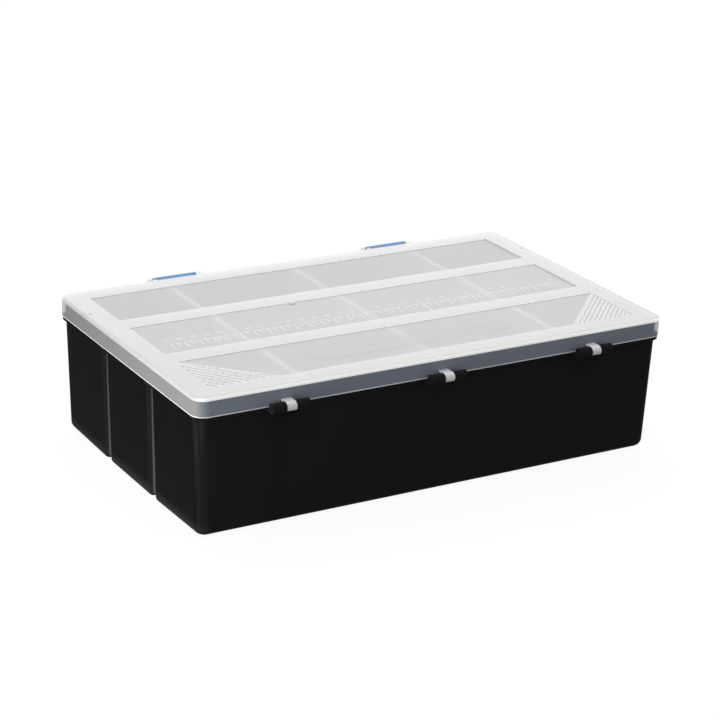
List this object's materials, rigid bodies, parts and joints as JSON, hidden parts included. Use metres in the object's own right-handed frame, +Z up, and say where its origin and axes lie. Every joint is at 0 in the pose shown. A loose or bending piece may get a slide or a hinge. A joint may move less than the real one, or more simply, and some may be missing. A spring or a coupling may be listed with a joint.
{
  "type": "fishing tackle box",
  "caption": "Deep case for fishing tackle: black tray with long troughs and loose dividers under a frosted lid on snap hinges, shut by pivoting latches.",
  "frame": {"origin": "middle of the underside, on the surface that the case stands on", "axes": "+X along the case towards its right end as seen from the latch side, +Y towards the hinge side, +Z up"},
  "size_m": [0.353, 0.2341, 0.096],
  "materials": {
    "tray_black": "semi-gloss black moulded polypropylene",
    "lid_frosted": "frosted translucent polypropylene with clearer windows",
    "latch_blue": "blue moulded plastic, satin",
    "divider_white": "natural translucent polypropylene"
  },
  "bodies": {
    "base": {"tray": "tray_black", "divider_front_left": "divider_white", "divider_front_centre": "divider_white", "divider_front_right": "divider_white", "divider_middle_left": "divider_white", "divider_middle_centre": "divider_white", "divider_middle_right": "divider_white", "divider_rear_left": "divider_white", "divider_rear_centre": "divider_white", "divider_rear_right": "divider_white"},
    "lid": {"lid": "lid_frosted"},
    "latch_left": {"latch_left": "latch_blue"},
    "latch_right": {"latch_right": "latch_blue"}
  },
  "joints": [
    {"name": "lid_hinge", "type": "hinge", "parent": "base", "child": "lid", "pos_m": [0, 0.113, 0.0837], "axis": [-1, 0, 0], "range_deg": [0, 190]},
    {"name": "latch_left_pivot", "type": "hinge", "parent": "lid", "child": "latch_left", "pos_m": [-0.086, -0.1123, 0.0926], "axis": [-1, 0, 0], "range_deg": [0, 120]},
    {"name": "latch_right_pivot", "type": "hinge", "parent": "lid", "child": "latch_right", "pos_m": [0.086, -0.1123, 0.0926], "axis": [-1, 0, 0], "range_deg": [0, 120]}
  ]
}
